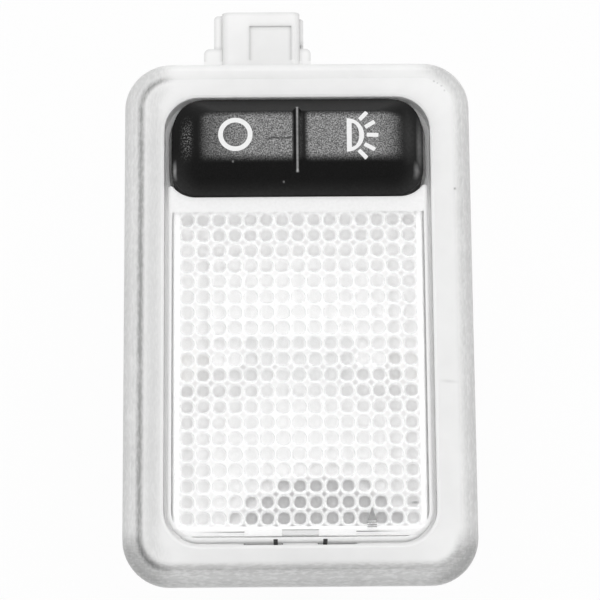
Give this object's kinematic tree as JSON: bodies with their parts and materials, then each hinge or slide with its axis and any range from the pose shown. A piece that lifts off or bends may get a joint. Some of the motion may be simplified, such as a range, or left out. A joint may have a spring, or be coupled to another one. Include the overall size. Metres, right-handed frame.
{
  "type": "car dome light",
  "caption": "Translucent bezel lamp for a car roof lining, with a prismatic clear lens, a black rocker switch, a festoon bulb, a swing-out reflector and a plug socket.",
  "frame": {"origin": "centre of the bezel's rear rim, on the plane that meets the roof lining", "axes": "+X across the lamp, +Y along it towards the plug socket, +Z out of the lens"},
  "size_m": [0.0706, 0.1206, 0.0295],
  "materials": {
    "milky_plastic": "translucent milky white moulding, fine satin",
    "clear_plastic": "clear polished moulding with prism cells inside",
    "black_plastic": "black, grained face, satin flanks",
    "tinned_brass": "stamped brass, tin-plated",
    "bronze": "stamped",
    "contact_metal": "silver-plated",
    "spring_steel": "dark blued spring steel",
    "bulb_glass": "clear glass",
    "cap_metal": "nickel-plated",
    "filament_wire": "tungsten wire",
    "reflector_metal": "drawn sheet, white enamel"
  },
  "bodies": {
    "lamp": {"housing": "milky_plastic", "lens": "clear_plastic", "detent_spring": "spring_steel", "live_busbar": "tinned_brass", "door_busbar": "tinned_brass", "ground_busbar": "tinned_brass", "return_busbar": "tinned_brass", "bulb_glass": "bulb_glass", "bulb_cap_left": "cap_metal", "bulb_cap_right": "cap_metal", "bulb_filament": "filament_wire", "reflector_pin": "spring_steel", "retaining_spring": "spring_steel", "door_contact": "contact_metal", "ground_contact": "contact_metal", "common_contact": "contact_metal"},
    "rocker": {"switch_rocker": "black_plastic", "switch_wiper": "bronze"},
    "reflector": {"reflector": "reflector_metal"}
  },
  "joints": [
    {"name": "rocker_tilt", "type": "hinge", "parent": "lamp", "child": "rocker", "pos_m": [0, 0.03533, -0.0015], "axis": [0, 1, 0], "range_deg": [-7, 7]},
    {"name": "reflector_hinge", "type": "hinge", "parent": "lamp", "child": "reflector", "pos_m": [0, 0.0209, -0.0182], "axis": [1, 0, 0], "range_deg": [0, 100]}
  ]
}
